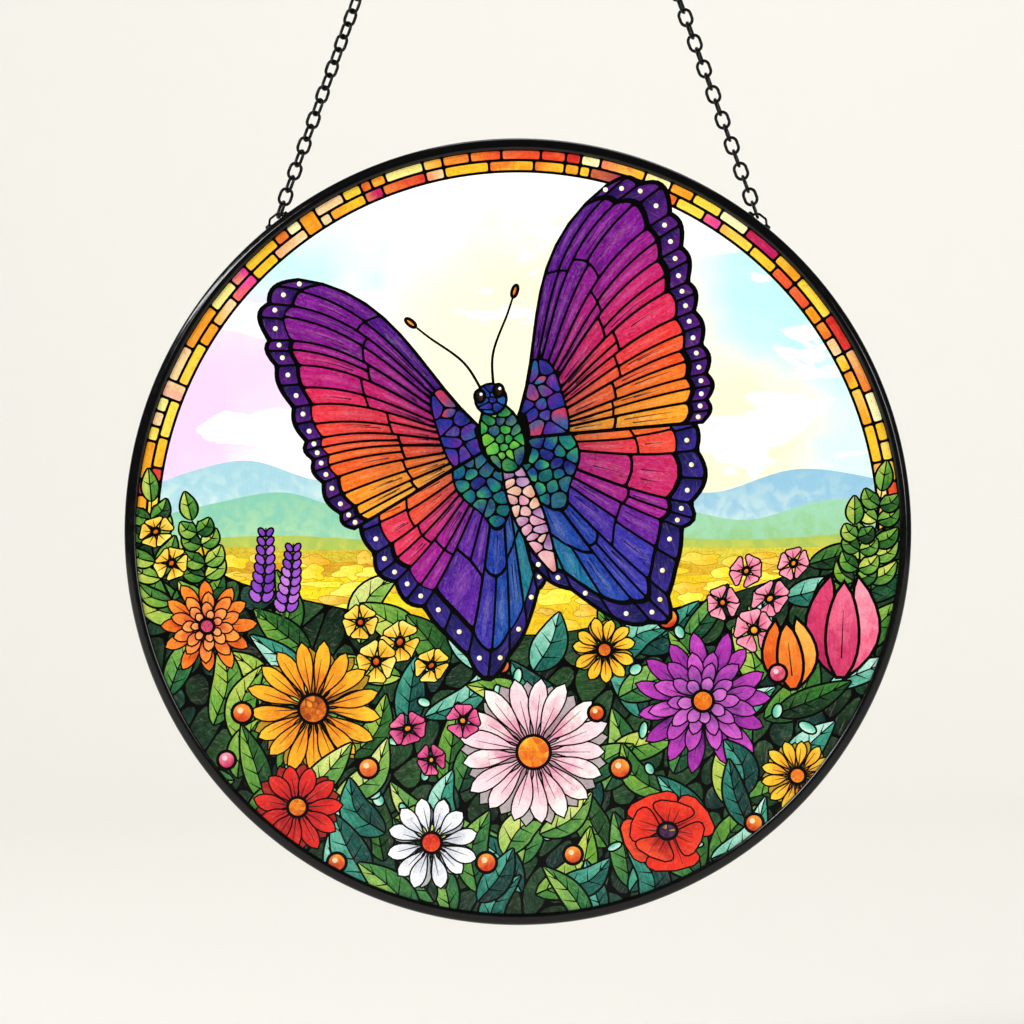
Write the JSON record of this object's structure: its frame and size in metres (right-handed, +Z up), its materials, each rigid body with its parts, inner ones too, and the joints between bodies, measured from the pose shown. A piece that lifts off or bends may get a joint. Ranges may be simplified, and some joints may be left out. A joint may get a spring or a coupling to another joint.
{
  "type": "hanging glass suncatcher",
  "caption": "Round printed glass panel in a black metal rim, hung from one black link chain whose ends hook on two small wire loops on the rim.",
  "frame": {"origin": "inside the chain's middle link, on the underside of its top side, where a hook or thin nail carries the whole piece", "axes": "+Z up along the hanging piece's height; the printed front faces -Y; +X to the viewer's right"},
  "size_m": [0.2, 0.0052, 0.3491],
  "materials": {
    "printed_glass": "opaque white-backed colour print under glossy glass",
    "rim_coating": "gloss black coating",
    "loop_wire": "gloss black coating",
    "chain_wire": "satin black coating"
  },
  "bodies": {
    "root": {"glass_panel": "printed_glass", "rim": "rim_coating", "left_hanger_loop": "loop_wire", "right_hanger_loop": "loop_wire", "middle_chain_link": "chain_wire", "left_chain_links_1_2": "chain_wire", "left_chain_links_3_4": "chain_wire", "left_chain_links_5_6": "chain_wire", "left_chain_links_7_8": "chain_wire", "left_chain_links_9_10": "chain_wire", "left_chain_links_11_12": "chain_wire", "left_chain_links_13_14": "chain_wire", "left_chain_links_15_16": "chain_wire", "left_chain_links_17_18": "chain_wire", "left_chain_links_19_20": "chain_wire", "left_chain_links_21_22": "chain_wire", "left_chain_links_23_24": "chain_wire", "left_chain_links_25_26": "chain_wire", "left_chain_links_27_28": "chain_wire", "left_chain_links_29_30": "chain_wire", "left_chain_links_31_32": "chain_wire", "left_chain_links_33_34": "chain_wire", "left_chain_links_35_36": "chain_wire", "left_chain_links_37_38": "chain_wire", "left_chain_links_39_40": "chain_wire", "left_chain_links_41_42": "chain_wire", "left_chain_links_43_44": "chain_wire", "left_chain_links_45_46": "chain_wire", "left_chain_links_47_48": "chain_wire", "left_chain_links_49_50": "chain_wire", "left_chain_link_51": "chain_wire", "right_chain_links_1_2": "chain_wire", "right_chain_links_3_4": "chain_wire", "right_chain_links_5_6": "chain_wire", "right_chain_links_7_8": "chain_wire", "right_chain_links_9_10": "chain_wire", "right_chain_links_11_12": "chain_wire", "right_chain_links_13_14": "chain_wire", "right_chain_links_15_16": "chain_wire", "right_chain_links_17_18": "chain_wire", "right_chain_links_19_20": "chain_wire", "right_chain_links_21_22": "chain_wire", "right_chain_links_23_24": "chain_wire", "right_chain_links_25_26": "chain_wire", "right_chain_links_27_28": "chain_wire", "right_chain_links_29_30": "chain_wire", "right_chain_links_31_32": "chain_wire", "right_chain_links_33_34": "chain_wire", "right_chain_links_35_36": "chain_wire", "right_chain_links_37_38": "chain_wire", "right_chain_links_39_40": "chain_wire", "right_chain_links_41_42": "chain_wire", "right_chain_links_43_44": "chain_wire", "right_chain_links_45_46": "chain_wire", "right_chain_links_47_48": "chain_wire", "right_chain_links_49_50": "chain_wire", "right_chain_link_51": "chain_wire"}
  },
  "joints": []
}
